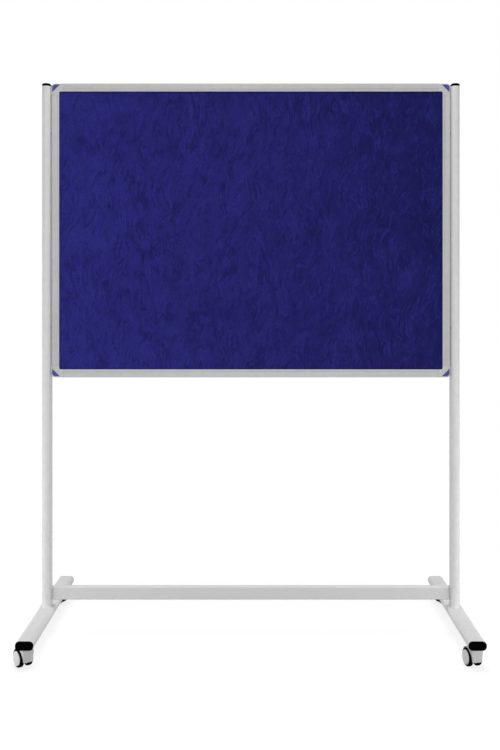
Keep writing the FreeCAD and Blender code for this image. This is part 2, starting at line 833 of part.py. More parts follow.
def make_hood(castor):
    """The moulded castor body: a tapered hood over both wheels, on a web that carries axle and stem."""
    body = new_body(f"{castor.name}_castor_hood")
    radius, axle_y, axle_z = HOOD_RADIUS, S.castor_trail, S.wheel_radius
    drop, rise, boss, corner = S.hood_front_drop, S.hood_back_rise, S.axle_boss_radius, S.hood_front_corner
    front = axle_y - WELL_RADIUS - S.hood_front_wall
    front_low = axle_y - root(WELL_RADIUS * WELL_RADIUS - drop * drop) - S.hood_front_wall
    side = sketch_on(body, "YZ_Plane")
    outline(side, [
        (axle_y + root(radius * radius - rise * rise), axle_z + rise, radius),
        (axle_y, axle_z + radius),
        (front + corner, axle_z + radius, corner),
        (front, axle_z + radius - corner),
        (front_low, axle_z - drop),
        (axle_y, axle_z - boss, boss),
        (axle_y + boss, axle_z),
    ])
    pad(body, side, S.hood_width, symmetric=True)
    stem_boss = sketch_on(body, "XY_Plane", STEM_BOSS_TOP)
    circle(stem_boss, 0, 0, S.stem_boss_radius)
    pad(body, stem_boss, S.stem_boss_depth, backward=True)
    for way in (LEFT, RIGHT):
        well = sketch_on(body, "YZ_Plane", HOOD_WEB / 2 * way)
        circle(well, axle_y, axle_z, WELL_RADIUS)
        pocket(body, well, S.hood_width / 2 + S.cut_overrun, backward=way == RIGHT)
    trims = sketch_on(body, "XZ_Plane")
    low, shoulder = axle_z - drop - S.cut_overrun, axle_z + S.hood_shoulder_rise
    for way in (LEFT, RIGHT):
        past = (S.hood_width / 2 + S.cut_overrun) * way
        outline(trims, [
            (S.hood_tip_width / 2 * way, low),
            (past, low),
            (past, shoulder),
            (S.hood_width / 2 * way, shoulder),
        ])
    pocket(body, trims, symmetric=True)
    bore = sketch_on(body, "XY_Plane", STEM_BOSS_TOP)
    circle(bore, 0, 0, S.stem_pin_radius + S.running_gap)
    pocket(body, bore, S.stem_pin_length + S.swivel_gap)
    axle_hole = sketch_on(body, "YZ_Plane")
    circle(axle_hole, axle_y, axle_z, S.axle_radius + S.seat_gap)
    pocket(body, axle_hole, symmetric=True)
    return node(castor.put(body))


def make_axle(castor):
    body = new_body(f"{castor.name}_castor_axle")
    section = sketch_on(body, "YZ_Plane")
    circle(section, 0, 0, S.axle_radius)
    pad(body, section, AXLE_HALF * 2, symmetric=True)
    return node(castor.put(body, S.castor_trail, S.wheel_radius))


def make_wheel(castor, side):
    """One wheel: a hub on the axle, a domed disc outside and a rim for the tyre."""
    body = new_body(f"{castor.name}_{'left' if side == LEFT else 'right'}_wheel")
    inner, outer, bore = S.wheel_inner, WHEEL_OUTER, S.axle_radius + S.running_gap
    bore_end = AXLE_HALF + S.axle_end_gap
    dome = (DISC_RADIUS * DISC_RADIUS + S.wheel_dome * S.wheel_dome) / (S.wheel_dome * 2)
    rim = TYRE_SEAT - S.wheel_rim_wall
    profile = sketch_on(body, "XY_Plane")
    outline(profile, [
        (inner, bore),
        (bore_end, bore),
        (bore_end, 0),
        (outer, 0, dome),
        (DISC_EDGE, DISC_RADIUS),
        (DISC_EDGE - S.wheel_lip_width, DISC_RADIUS),
        (DISC_EDGE - S.wheel_lip_width, TYRE_SEAT),
        (inner + S.tyre_side, TYRE_SEAT),
        (inner + S.tyre_side, rim),
        (inner + S.wheel_disc_depth, rim),
        (inner + S.wheel_disc_depth, S.wheel_hub_radius),
        (inner, S.wheel_hub_radius),
    ])
    revolve(body, profile, "H_Axis")
    return node(castor.put(body, S.castor_trail, S.wheel_radius, side == LEFT))


def make_tyre(castor, side):
    body = new_body(f"{castor.name}_{'left' if side == LEFT else 'right'}_tyre")
    near, far = S.wheel_inner + S.tyre_side, DISC_EDGE - S.wheel_lip_width - S.seat_gap
    seat, tread, shoulder = TYRE_SEAT + S.seat_gap, S.wheel_radius, S.tyre_shoulder
    profile = sketch_on(body, "XY_Plane")
    outline(profile, [
        (near, seat),
        (far, seat),
        (far, tread - shoulder, shoulder),
        (far - shoulder, tread),
        (near + shoulder, tread, shoulder),
        (near, tread - shoulder),
    ])
    revolve(body, profile, "H_Axis")
    return node(castor.put(body, S.castor_trail, S.wheel_radius, side == LEFT))


def make_castors():
    castors = [Castor(name) for name in CASTOR_TURNS]
    for castor in castors:
        make_hood(castor)
        make_axle(castor)
        for side in (LEFT, RIGHT):
            make_wheel(castor, side)
            make_tyre(castor, side)
    group("castor_stems", [make_stem(castor) for castor in castors])
    group("castor_nuts", [make_stem_nut(castor) for castor in castors])


def make_stand():
    for word, side in (("left", LEFT), ("right", RIGHT)):
        make_post(f"{word}_post", side)
        make_foot(f"{word}_foot", side)
        make_end_cap(f"{word}_post_cap", S.post_cap_crown, POST_CAP_EDGE_SHARE, POST_X * side, 0,
                     FOOT_TOP + POST_LENGTH)
        middle = CASTOR_HEIGHT + S.tube_thickness / 2
        make_end_cap(f"{word}_foot_front_cap", S.foot_cap_crown, FOOT_CAP_EDGE_SHARE, POST_X * side,
                     -FOOT_TUBE_HALF, middle, axes(-Z_AXIS, X_AXIS))
        make_end_cap(f"{word}_foot_rear_cap", S.foot_cap_crown, FOOT_CAP_EDGE_SHARE, POST_X * side,
                     FOOT_TUBE_HALF, middle, axes(Z_AXIS, X_AXIS))
    group("post_welds", [make_weld("post_weld", side) for side in (LEFT, RIGHT)])
    make_rail()
    group("rail_end_plugs", [make_rail_plug("rail_end_plug", side) for side in (LEFT, RIGHT)])
    make_rail_bolts()


def make_board():
    make_core()
    make_felt("front_felt", FRONT)
    make_felt("rear_felt", REAR)
    make_frame()
    make_corners()
    make_board_bolts()
    group("board_spacers", at_board_bolts(make_board_spacer))
    group("board_nuts", at_board_bolts(make_board_nut))


def write_nodes():
    """Makes sure that nothing failed, then writes each piece to its own file."""
    for item in doc.Objects:
        if {"Invalid", "Error"} & set(item.State):
            raise ValueError(f"{item.Name} failed: {item.State}")
    for piece in nodes:
        if piece.Shape.isNull() or not piece.Shape.isValid():
            raise ValueError(f"{piece.Label} has no valid shape")
    os.makedirs("parts", exist_ok=True)
    for piece in nodes:
        piece.Shape.exportStep(f"parts/{piece.Label}.step")
        print(f"{piece.Label}: {len(piece.Shape.Solids)} solid(s), {piece.Shape.Volume:.0f} mm3")
    print(f"{len(nodes)} nodes")


make_stand()
make_board()
make_castors()
doc.recompute()
write_nodes()
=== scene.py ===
"""Dresses the mobile pinboard: its finishes, its felt and the studio that it stands in."""

import math
from typing import NamedTuple

import bmesh
import bpy
from mathutils import Euler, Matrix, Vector, noise


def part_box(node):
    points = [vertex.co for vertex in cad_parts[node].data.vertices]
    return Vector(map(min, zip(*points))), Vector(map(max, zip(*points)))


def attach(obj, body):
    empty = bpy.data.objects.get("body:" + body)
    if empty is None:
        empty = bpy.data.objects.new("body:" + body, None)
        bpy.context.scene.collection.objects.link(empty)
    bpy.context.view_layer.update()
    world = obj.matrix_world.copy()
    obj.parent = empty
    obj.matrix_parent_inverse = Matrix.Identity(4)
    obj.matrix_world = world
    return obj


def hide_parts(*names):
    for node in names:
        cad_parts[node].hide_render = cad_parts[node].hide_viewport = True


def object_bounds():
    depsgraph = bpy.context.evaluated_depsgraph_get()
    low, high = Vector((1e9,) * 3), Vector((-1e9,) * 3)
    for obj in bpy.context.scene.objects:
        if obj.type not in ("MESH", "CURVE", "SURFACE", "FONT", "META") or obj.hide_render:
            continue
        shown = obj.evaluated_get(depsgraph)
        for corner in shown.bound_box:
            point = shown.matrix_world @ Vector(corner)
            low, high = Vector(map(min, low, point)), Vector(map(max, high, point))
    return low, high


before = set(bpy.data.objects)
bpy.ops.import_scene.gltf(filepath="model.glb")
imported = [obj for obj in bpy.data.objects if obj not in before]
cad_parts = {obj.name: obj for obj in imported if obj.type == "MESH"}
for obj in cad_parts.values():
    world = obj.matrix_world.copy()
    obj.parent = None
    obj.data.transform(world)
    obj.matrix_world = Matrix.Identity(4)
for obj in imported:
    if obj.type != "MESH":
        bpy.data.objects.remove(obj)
CAD_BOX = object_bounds()

bl_info = {
    "name": "Mobile Pinboard",
    "version": (1, 0, 0),
    "blender": (4, 5, 0),
    "location": "3D View > Sidebar > Pinboard",
    "description": "Dresses the packed mobile pinboard with its finishes, felt and studio",
    "category": "Object",
}

STAND = "stand"
CASTORS = ("front_left", "front_right", "rear_left", "rear_right")
HANDS = ("left", "right")
MM = 0.001
WHITE = (1.0, 1.0, 1.0, 1.0)


# Settings

def colour(name, description, default):
    return bpy.props.FloatVectorProperty(
        name=name, description=description, subtype="COLOR", size=3, min=0.0, max=1.0,
        default=default)


def length(name, description, default):
    return bpy.props.FloatProperty(
        name=name, description=description, unit="LENGTH", subtype="DISTANCE", min=0.0,
        default=default)


def power(name, description, default):
    return bpy.props.FloatProperty(
        name=name, description=description, unit="POWER", default=default)


def pixels(name, description, default):
    return bpy.props.FloatProperty(name=name, description=description, default=default)


class PinboardColours(bpy.types.PropertyGroup):
    """Main colour of each finish."""

    powder_coat: colour("Powder coat", "Posts and feet", (0.72, 0.72, 0.718))
    rail_coat: colour("Rail coat", "Lower rail", (0.718, 0.718, 0.716))
    anodised: colour("Anodised frame", "Aluminium section round the board", (0.51, 0.51, 0.51))
    corner_grey: colour("Corner grey", "Moulded corners of the frame", (0.62, 0.62, 0.61))
    corner_blue: colour("Corner blue", "Caps on the corners", (0.051, 0.050, 0.300))
    felt: colour("Felt", "Cloth on both faces of the board", (0.0258, 0.0256, 0.2060))
    softboard: colour("Softboard", "Core of the board", (0.42, 0.32, 0.20))
    black: colour("Black plastic", "End caps and spacers", (0.0015, 0.0015, 0.0016))
    zinc: colour("Zinc", "Bolts, nuts, stems and axles", (0.60, 0.60, 0.61))
    hood_grey: colour("Hood grey", "Castor hoods and the rail's end plugs", (0.57, 0.57, 0.57))
    disc_grey: colour("Disc grey", "Castor wheels", (0.68, 0.68, 0.68))
    tyre: colour("Tyre", "Treads of the castor wheels", (0.0015, 0.0015, 0.0015))


class PinboardSizes(bpy.types.PropertyGroup):
    """Sizes of the felt's form and of the softened edges."""

    felt_step: length("Felt step", "Spacing of the felt's mesh", 4 * MM)
    felt_roll: length(
        "Felt roll", "Width over which the felt rolls down at the frame's lip", 5 * MM)
    felt_relief: length("Felt relief", "Height of the marks brushed into the felt", 0.3 * MM)
    lip_gap: length("Lip gap", "Gap between the felt and the frame's lip", 0.1 * MM)
    metal_edge: length("Metal edge", "Softening of cut metal edges", 0.3 * MM)
    plastic_edge: length("Plastic edge", "Softening of moulded edges", 0.5 * MM)


class PinboardStudio(bpy.types.PropertyGroup):
    """Camera, floor and lights."""

    camera_distance: length("Camera distance", "From the board to the camera", 2.941)
    camera_height: length("Camera height", "From the floor to the camera", 1.033)
    focal_pixels: pixels("Focal length", "Focal length in pixels of the photograph", 975.8)
    axis_across: pixels(
        "Axis across", "Where the camera's axis meets the photograph, in pixels", 250.9)
    axis_down: pixels(
        "Axis down", "Where the camera's axis meets the photograph, in pixels", 290.0)
    sky: bpy.props.FloatProperty(
        name="Sky", description="Strength of the even light from all round", min=0.0, default=0.23)
    front: power("Front light", "Power of the large soft light behind the camera", 99.0)
    side: power("Side lights", "Power of each low soft light beside the stand", 5.6)
    top: power("Top light", "Power of the soft light overhead", 88.0)
    floor_radius: length("Floor radius", "Reach of the pale floor", 14.0)


class PinboardSettings(bpy.types.PropertyGroup):
    """All settings of the pinboard."""

    colours: bpy.props.PointerProperty(type=PinboardColours)
    sizes: bpy.props.PointerProperty(type=PinboardSizes)
    studio: bpy.props.PointerProperty(type=PinboardStudio)


def settings():
    return bpy.context.scene.pinboard


# Nodes

# Colour sockets of a Mix node, by number because its other kinds share their names
MIX_FIRST, MIX_SECOND, MIX_RESULT = 6, 7, 2
BUMP_STRENGTH = 0.6


def add(tree, kind, **values):
    """A new node; a value goes to the node's setting of that name."""
    item = tree.nodes.new(kind)
    for name, value in values.items():
        setattr(item, name, value)
    return item


def join(tree, *pairs):
    """Links each pair's first socket to its second."""
    for source, target in pairs:
        tree.links.new(source, target)


def preset(item, **values):
    """Sets a node's inputs; a name has its words joined by underscores."""
    for name, value in values.items():
        item.inputs[name.replace("_", " ").title()].default_value = value


def new_group(name, inputs, outputs):
    """An empty shader node group with these sockets; an input's default also says its kind."""
    tree = bpy.data.node_groups.new(name, "ShaderNodeTree")
    for socket, default in inputs.items():
        kind = "NodeSocketFloat" if isinstance(default, (int, float)) else "NodeSocketVector"
        new = tree.interface.new_socket(name=socket, in_out="INPUT", socket_type=kind)
        new.default_value = default
    for socket in outputs:
        tree.interface.new_socket(name=socket, in_out="OUTPUT", socket_type="NodeSocketFloat")
    return tree, add(tree, "NodeGroupInput"), add(tree, "NodeGroupOutput")


def use_group(tree, group, **values):
    """Places a group in a material; a value goes to the input of that name."""
    item = add(tree, "ShaderNodeGroup", node_tree=group)
    preset(item, **values)
    return item


def shared_group(build, name):
    """A node group, built the first time that it is asked for."""
    return bpy.data.node_groups.get(name) or build()


def grain_group():
    """Uneven texture of any scale and stretch: a mask between two levels, and its raw height."""
    inputs = {"Scale": 100.0, "Stretch": (1.0, 1.0, 1.0), "Detail": 2.0, "Warp": 0.0,
              "Low": 0.35, "High": 0.65}
    tree, given, out = new_group("Grain", inputs, ["Mask", "Height"])
    place = add(tree, "ShaderNodeTexCoord")
    stretched = add(tree, "ShaderNodeVectorMath", operation="MULTIPLY")
    cloud = add(tree, "ShaderNodeTexNoise")
    level = add(tree, "ShaderNodeMapRange")
    join(tree,
         (place.outputs["Object"], stretched.inputs[0]),
         (given.outputs["Stretch"], stretched.inputs[1]),
         (stretched.outputs["Vector"], cloud.inputs["Vector"]),
         (given.outputs["Scale"], cloud.inputs["Scale"]),
         (given.outputs["Detail"], cloud.inputs["Detail"]),
         (given.outputs["Warp"], cloud.inputs["Distortion"]),
         (cloud.outputs[0], level.inputs["Value"]),
         (given.outputs["Low"], level.inputs["From Min"]),
         (given.outputs["High"], level.inputs["From Max"]),
         (level.outputs["Result"], out.inputs["Mask"]),
         (cloud.outputs[0], out.inputs["Height"]))
    return tree


def edge_group():
    """Edges that hands and feet have rubbed, broken up by a coarse texture."""
    inputs = {"Low": 0.52, "High": 0.62, "Scale": 60.0}
    tree, given, out = new_group("Rubbed edges", inputs, ["Mask"])
    shape = add(tree, "ShaderNodeNewGeometry")
    level = add(tree, "ShaderNodeMapRange")
    place = add(tree, "ShaderNodeTexCoord")
    cloud = add(tree, "ShaderNodeTexNoise")
    broken = add(tree, "ShaderNodeMath", operation="MULTIPLY")
    join(tree,
         (shape.outputs["Pointiness"], level.inputs["Value"]),
         (given.outputs["Low"], level.inputs["From Min"]),
         (given.outputs["High"], level.inputs["From Max"]),
         (place.outputs["Object"], cloud.inputs["Vector"]),
         (given.outputs["Scale"], cloud.inputs["Scale"]),
         (level.outputs["Result"], broken.inputs[0]),
         (cloud.outputs[0], broken.inputs[1]),
         (broken.outputs["Value"], out.inputs["Mask"]))
    return tree


# Felt's pile: lean of each of its two sets of lines in degrees, and the levels of the cluster
# texture between which that set comes in
LINE_SETS = ((5.0, (0.46, 0.55)), (-24.0, (0.52, 0.43)))
# Level of the texture at which a mark runs, and its width in each set of lines
CREASE_LEVEL, CREASE_WIDTHS = 0.47, (0.060, 0.052)
GLEAM_LEVEL, GLEAM_WIDTHS = 0.56, (0.035, 0.030)
LIGHT_LEVELS, DARK_LEVELS, FIBRE_LEVELS = (0.50, 0.68), (0.48, 0.32), (0.35, 0.65)
BEND_REACH = (0.035, 0.0, 0.035)


def nap_group():
    """Crushed pile: blotches, clusters of thin light and dark creases, and fine fibres."""
    inputs = {"Blotch": 17.0, "Crease": 52.0, "Length": 0.24, "Cluster": 8.0, "Fibre": 330.0,
              "Bend": 12.0}
    outputs = ["Light", "Dark", "Creases", "Gleams", "Fibres"]
    tree, given, out = new_group("Crushed nap", inputs, outputs)
    place = add(tree, "ShaderNodeTexCoord")
    stretch = add(tree, "ShaderNodeCombineXYZ")
    preset(stretch, x=1.0, y=1.0)
    join(tree, (given.outputs["Length"], stretch.inputs["Z"]))

    def cloud(spot, scale, detail, warp=0.0, rough=0.5):
        item = add(tree, "ShaderNodeTexNoise")
        preset(item, detail=detail, distortion=warp, roughness=rough)
        join(tree, (spot, item.inputs["Vector"]), (given.outputs[scale], item.inputs["Scale"]))
        return item

    def level(source, low, high):
        item = add(tree, "ShaderNodeMapRange", interpolation_type="SMOOTHSTEP")
        preset(item, from_min=low, from_max=high)
        join(tree, (source, item.inputs["Value"]))
        return item.outputs["Result"]

    def both(operation, first, second):
        item = add(tree, "ShaderNodeMath", operation=operation)
        join(tree, (first, item.inputs[0]), (second, item.inputs[1]))
        return item.outputs["Value"]

    bend = cloud(place.outputs["Object"], "Bend", detail=2.0)
    bent = add(tree, "ShaderNodeVectorMath", operation="MULTIPLY_ADD")
    bent.inputs[1].default_value = BEND_REACH
    join(tree, (bend.outputs["Color"], bent.inputs[0]), (place.outputs["Object"], bent.inputs[2]))

    def waves(slant):
        turned = add(tree, "ShaderNodeVectorRotate", rotation_type="Y_AXIS")
        turned.inputs["Angle"].default_value = math.radians(slant)
        long = add(tree, "ShaderNodeVectorMath", operation="MULTIPLY")
        join(tree,
             (bent.outputs["Vector"], turned.inputs["Vector"]),
             (turned.outputs["Vector"], long.inputs[0]),
             (stretch.outputs["Vector"], long.inputs[1]))
        return cloud(long.outputs["Vector"], "Crease", detail=2.5, warp=0.3, rough=0.6).outputs[0]

    def line(wave, middle, width):
        from_line = add(tree, "ShaderNodeMath", operation="SUBTRACT")
        from_line.inputs[1].default_value = middle
        size = add(tree, "ShaderNodeMath", operation="ABSOLUTE")
        join(tree, (wave, from_line.inputs[0]), (from_line.outputs["Value"], size.inputs[0]))
        return level(size.outputs["Value"], width, 0.0)

    cluster = cloud(place.outputs["Object"], "Cluster", detail=4.0, warp=0.6, rough=0.6).outputs[0]
    sets = [(waves(slant), level(cluster, *levels)) for slant, levels in LINE_SETS]

    def marks(middle, widths):
        parts = [both("MULTIPLY", line(wave, middle, width), share)
                 for (wave, share), width in zip(sets, widths)]
        return both("MAXIMUM", *parts)

    blotch = cloud(bent.outputs["Vector"], "Blotch", detail=5.0, warp=0.5, rough=0.6).outputs[0]
    fibre = cloud(place.outputs["Object"], "Fibre", detail=2.0).outputs[0]
    join(tree,
         (level(blotch, *LIGHT_LEVELS), out.inputs["Light"]),
         (level(blotch, *DARK_LEVELS), out.inputs["Dark"]),
         (marks(CREASE_LEVEL, CREASE_WIDTHS), out.inputs["Creases"]),
         (marks(GLEAM_LEVEL, GLEAM_WIDTHS), out.inputs["Gleams"]),
         (level(fibre, *FIBRE_LEVELS), out.inputs["Fibres"]))
    return tree


# Finishes

class Finish(NamedTuple):
    """What makes up one finish besides its main colour.

    Grain and mottle are counts in a metre, and depth is in millimetres. Tone is a share of the
    colour, and wear is added to it.
    """

    roughness: tuple
    grain: float
    depth: float
    tone: float = 0.03
    mottle: float = 9.0
    stretch: tuple = (1.0, 1.0, 1.0)
    metallic: float = 0.0
    specular: float = 0.5
    coat: float = 0.0
    wear: float = 0.0


ANODISED = Finish(roughness=(0.34, 0.46), grain=1.0, depth=0.03, tone=0.05, metallic=0.45,
                  wear=0.15)
FINISHES = {
    "powder_coat": Finish(roughness=(0.36, 0.50), grain=750.0, depth=0.10, tone=0.018, mottle=7.0,
                          wear=0.10),
    "rail_coat": Finish(roughness=(0.46, 0.60), grain=750.0, depth=0.10, tone=0.018, mottle=7.0,
                        specular=0.2),
    "anodised_level": ANODISED._replace(stretch=(2.5, 900.0, 900.0)),
    "anodised_upright": ANODISED._replace(stretch=(900.0, 900.0, 2.5)),
    "corner_grey": Finish(roughness=(0.42, 0.56), grain=1300.0, depth=0.05, tone=0.025, wear=0.10),
    "corner_blue": Finish(roughness=(0.26, 0.38), grain=1300.0, depth=0.03, tone=0.06, coat=0.15,
                          wear=0.12),
    "softboard": Finish(roughness=(0.85, 0.95), grain=420.0, depth=0.5, tone=0.15, mottle=60.0),
    "black": Finish(roughness=(0.60, 0.75), grain=1500.0, depth=0.05, tone=0.20, specular=0.015,
                    wear=0.004),
    "zinc": Finish(roughness=(0.28, 0.42), grain=700.0, depth=0.04, tone=0.06, mottle=120.0,
                   metallic=1.0),
    "hood_grey": Finish(roughness=(0.45, 0.60), grain=1100.0, depth=0.06, tone=0.03, mottle=40.0,
                        wear=0.08),
    "disc_grey": Finish(roughness=(0.26, 0.38), grain=1200.0, depth=0.03, tone=0.02, mottle=40.0,
                        coat=0.2, wear=0.04),
    "tyre": Finish(roughness=(0.55, 0.75), grain=1600.0, depth=0.10, tone=0.30, mottle=90.0,
                   specular=0.015, wear=0.004),
}
# Fine specks: their largest share, and their darkness in steps of the finish's tone
SPECK_SHARE, SPECK_TONE = 0.5, -2.0

# Felt's layers: output of the nap group, its largest share and its tone
NAP_LAYERS = (("Light", 0.30, 0.45), ("Dark", 0.45, -0.60), ("Gleams", 0.36, 0.60),
              ("Creases", 0.40, -0.75), ("Fibres", 0.38, -0.50))
# Painted sheen: the felt goes from pale on the left to dark on the right
SHEEN_REACH, SHEEN_LEFT, SHEEN_RIGHT = 0.6, 0.9, -0.15
PATCH_SHARE = 0.3
FELT_DARK, FELT_PALE = -0.46, 0.18
FELT_BUMP = 0.5


def shade(tone, base):
    """A colour made paler or darker by a share, with full alpha."""
    return [min(1.0, value * (1.0 + tone)) for value in base] + [1.0]


def blend_colour(tree, mask, first, second):
    """A mix of two colours by a mask; either may be a colour or a socket."""
    item = add(tree, "ShaderNodeMix", data_type="RGBA")
    join(tree, (mask, item.inputs["Factor"]))
    for number, value in ((MIX_FIRST, first), (MIX_SECOND, second)):
        if isinstance(value, bpy.types.NodeSocket):
            join(tree, (value, item.inputs[number]))
        else:
            item.inputs[number].default_value = value
    return item.outputs[MIX_RESULT]


def span(tree, source, low, high):
    """A mask spread over a range of values."""
    item = add(tree, "ShaderNodeMapRange")
    preset(item, to_min=low, to_max=high)
    join(tree, (source, item.inputs["Value"]))
    return item.outputs["Result"]


def relief(tree, shader, height, depth):
    """Bump of the given depth in millimetres."""
    bump = add(tree, "ShaderNodeBump")
    preset(bump, strength=BUMP_STRENGTH, distance=depth * MM)
    join(tree, (height, bump.inputs["Height"]), (bump.outputs["Normal"], shader.inputs["Normal"]))


def new_material(name):
    """An empty material with its node tree and output node."""
    material = bpy.data.materials.new(name)
    material.use_nodes = True
    tree = material.node_tree
    tree.nodes.clear()
    return material, tree, add(tree, "ShaderNodeOutputMaterial")


def finish(name, base):
    """The material of a hard finish: mottled colour, fine grain and paler rubbed edges."""
    title = f"{name}_finish"
    found = bpy.data.materials.get(title)
    if found:
        return found
    recipe = FINISHES[name]
    material, tree, out = new_material(title)
    shader = add(tree, "ShaderNodeBsdfPrincipled")
    shader.inputs["Metallic"].default_value = recipe.metallic
    shader.inputs["Specular IOR Level"].default_value = recipe.specular
    shader.inputs["Coat Weight"].default_value = recipe.coat
    grain = shared_group(grain_group, "Grain")
    broad = use_group(tree, grain, scale=recipe.mottle, detail=3.0, warp=0.4, low=0.3, high=0.7)
    fine = use_group(tree, grain, scale=recipe.grain, stretch=recipe.stretch)
    ground = blend_colour(
        tree, broad.outputs["Mask"], shade(-recipe.tone, base), shade(recipe.tone, base))
    speck = span(tree, fine.outputs["Mask"], 0.0, SPECK_SHARE)
    ground = blend_colour(tree, speck, ground, shade(SPECK_TONE * recipe.tone, base))
    if recipe.wear:
        edges = use_group(tree, shared_group(edge_group, "Rubbed edges"))
        rubbed = [min(1.0, value + recipe.wear) for value in base] + [1.0]
        ground = blend_colour(tree, edges.outputs["Mask"], ground, rubbed)
    gloss = span(tree, fine.outputs["Mask"], *recipe.roughness)
    join(tree,
         (ground, shader.inputs["Base Color"]),
         (gloss, shader.inputs["Roughness"]),
         (shader.outputs["BSDF"], out.inputs["Surface"]))
    relief(tree, shader, fine.outputs["Height"], recipe.depth)
    return material


def felt_finish(base):
    """Brushed felt: the colour follows the lie of the pile, and a painted sheen runs from pale on
    the left to dark on the right.
    """
    material, tree, out = new_material("felt_finish")
    shader = add(tree, "ShaderNodeBsdfPrincipled")
    shader.inputs["Roughness"].default_value = 0.95
    shader.inputs["Specular IOR Level"].default_value = 0.08
    shader.inputs["Sheen Weight"].default_value = 0.06
    shader.inputs["Sheen Roughness"].default_value = 0.5
    shader.inputs["Sheen Tint"].default_value = (0.25, 0.25, 0.80, 1.0)
    nap = use_group(tree, shared_group(nap_group, "Crushed nap"))
    broad = use_group(tree, shared_group(grain_group, "Grain"),
                      scale=2.6, detail=3.0, warp=0.8, low=0.25, high=0.75)
    place = add(tree, "ShaderNodeTexCoord")
    axes = add(tree, "ShaderNodeSeparateXYZ")
    # Painted sheen: pale on the left and dark on the right, along the felt's X
    painted_sheen = add(tree, "ShaderNodeMapRange")
    preset(painted_sheen, from_min=-SHEEN_REACH, from_max=SHEEN_REACH, to_min=SHEEN_LEFT, to_max=SHEEN_RIGHT)
    total = add(tree, "ShaderNodeMath", operation="MULTIPLY_ADD", use_clamp=True)
    total.inputs[1].default_value = PATCH_SHARE
    join(tree,
         (place.outputs["Object"], axes.inputs[0]),
         (axes.outputs["X"], painted_sheen.inputs["Value"]),
         (broad.outputs["Mask"], total.inputs[0]),
         (painted_sheen.outputs["Result"], total.inputs[2]))
    # Painted sheen, with random patches, mixes the dark and the pale felt
    ground = blend_colour(
        tree, total.outputs["Value"], shade(FELT_DARK, base), shade(FELT_PALE, base))
    for layer, share, tone in NAP_LAYERS:
        mask = span(tree, nap.outputs[layer], 0.0, share)
        ground = blend_colour(tree, mask, ground, shade(tone, base))
    join(tree,
         (ground, shader.inputs["Base Color"]),
         (shader.outputs["BSDF"], out.inputs["Surface"]))
    relief(tree, shader, nap.outputs["Fibres"], FELT_BUMP)
    return material


# Pieces

SAME_SPOT = 0.001 * MM
EDGE_SEGMENTS = 2
SHARP_ANGLE = math.radians(35.0)

# How far the full felt stands past the back of the frame's lip, and the opening's round corners
FELT_PROUD = 0.5 * MM
OPENING_RADIUS = 4.0 * MM
# Brushed marks: counts in a metre, step between the two faces, and the fractal's own numbers
BRUSH_ACROSS, BRUSH_UP, FACE_STEP = 16.0, 6.0, 3.0
BRUSH_FRACTAL = (0.9, 2.1, 3)
# Sway of the marks: counts in a metre, its share, and the places in the noise of its three parts
SWAY_SCALE, SWAY_SHARE = 5.0, 0.8
SWAY_SHIFTS = (0.0, 17.3, 41.9)


def dress(names, material, edge=0.0):
    """Gives CAD nodes their finish, and softens their sharp edges where an edge is given."""
    for name in names:
        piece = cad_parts[name]
        piece.data.materials.clear()
        piece.data.materials.append(material)
        if not edge:
            continue
        weld = piece.modifiers.new("Joined faces", "WELD")
        weld.merge_threshold = SAME_SPOT
        bevel = piece.modifiers.new("Soft edges", "BEVEL")
        bevel.width = edge
        bevel.segments = EDGE_SEGMENTS
        bevel.limit_method = "ANGLE"
        bevel.angle_limit = SHARP_ANGLE
        bevel.harden_normals = True


def new_piece(name, mesh, material):
    """A new piece on the stand, with its material."""
    piece = bpy.data.objects.new(name, mesh)
    bpy.context.scene.collection.objects.link(piece)
    piece.data.materials.append(material)
    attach(piece, STAND)
    return piece


def inside_by(x, z, half_x, half_z, radius):
    """How far a point lies inside a rectangle with round corners."""
    over_x, over_z = abs(x) - half_x + radius, abs(z) - half_z + radius
    beyond = math.hypot(max(over_x, 0.0), max(over_z, 0.0))
    return radius - beyond - min(max(over_x, over_z), 0.0)


def steps(low, high, count):
    """Evenly spaced values from low to high."""
    return [low + (high - low) * number / count for number in range(count + 1)]


